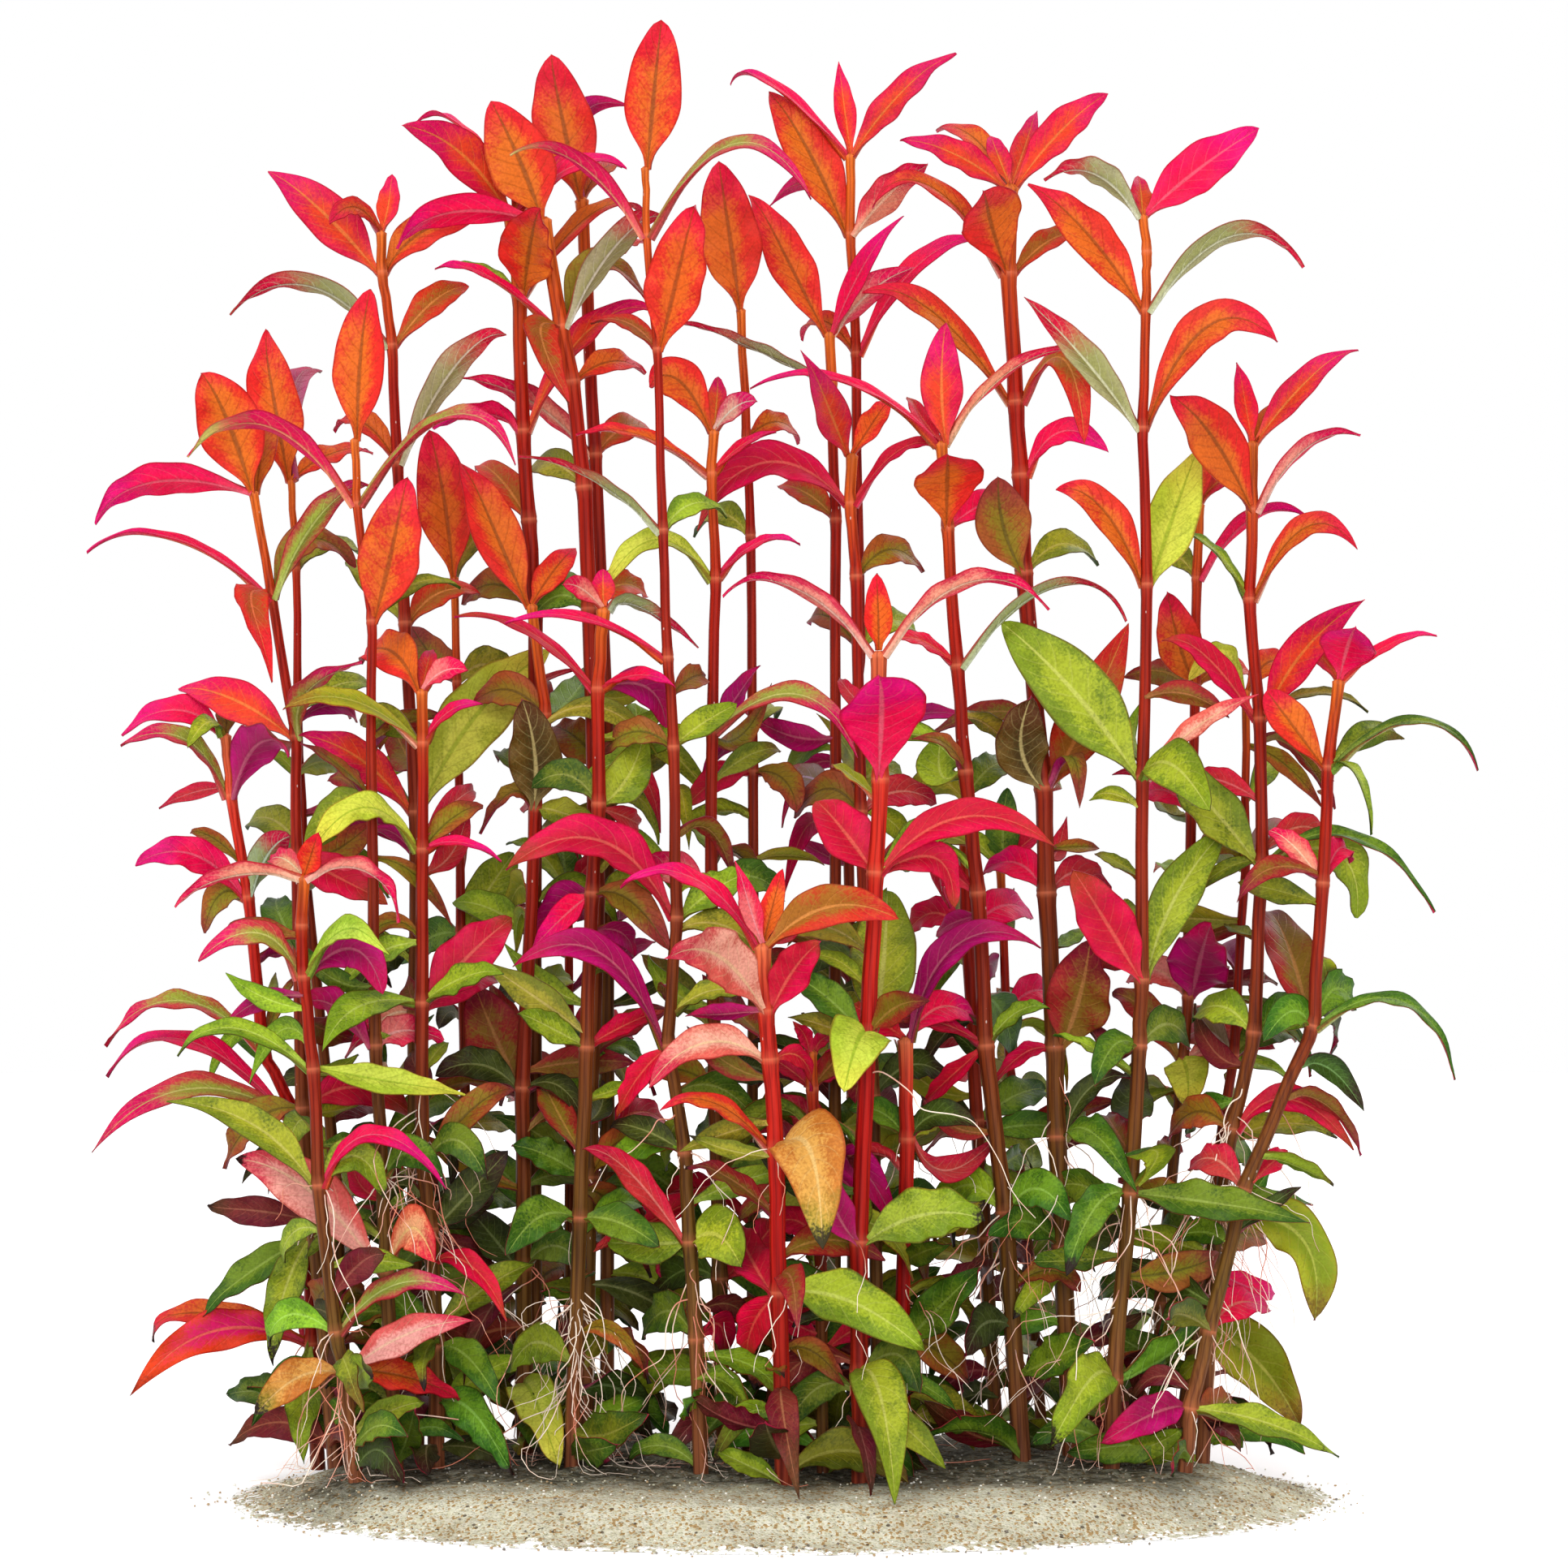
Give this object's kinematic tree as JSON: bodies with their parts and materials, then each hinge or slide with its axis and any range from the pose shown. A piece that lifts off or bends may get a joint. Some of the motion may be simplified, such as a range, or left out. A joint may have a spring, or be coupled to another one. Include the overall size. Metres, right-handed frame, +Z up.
{
  "type": "alternanthera stand",
  "caption": "Dense upright stand of red-leaved aquarium alternanthera stems, planted in a low patch of pale sand with a flat underside.",
  "frame": {"origin": "on the flat underside of the sand bed, at the middle of the stand's width and in line with its rear stems", "axes": "+Z up, +X to the right and -Y towards the viewer, as the picture looks at it"},
  "size_m": [0.3404, 0.1577, 0.3587],
  "materials": {
    "red_shoot": "satin leaf",
    "orange_shoot": "satin leaf",
    "magenta_shoot": "satin leaf",
    "green_shoot": "satin leaf",
    "sand": "loose fine sand, dull"
  },
  "bodies": {
    "root": {"sand_bed": "sand", "stem_01": "magenta_shoot", "stem_02": "red_shoot", "stem_03": "red_shoot", "stem_04": "red_shoot", "stem_05": "orange_shoot", "stem_06": "red_shoot", "stem_07": "red_shoot", "stem_08": "red_shoot", "stem_09": "red_shoot", "stem_10": "red_shoot", "stem_11": "red_shoot", "stem_12": "magenta_shoot", "stem_13": "red_shoot", "stem_14": "red_shoot", "stem_15": "orange_shoot", "stem_16": "red_shoot", "stem_17": "red_shoot", "stem_18": "red_shoot", "stem_19": "red_shoot", "stem_20": "green_shoot", "stem_21": "red_shoot", "stem_22": "red_shoot", "stem_23": "magenta_shoot", "stem_24": "red_shoot", "stem_25": "orange_shoot", "stem_26": "green_shoot", "stem_27": "magenta_shoot", "stem_28": "magenta_shoot", "stem_29": "magenta_shoot", "stem_30": "magenta_shoot", "stem_31": "green_shoot", "stem_32": "green_shoot", "stem_33": "magenta_shoot"}
  },
  "joints": []
}
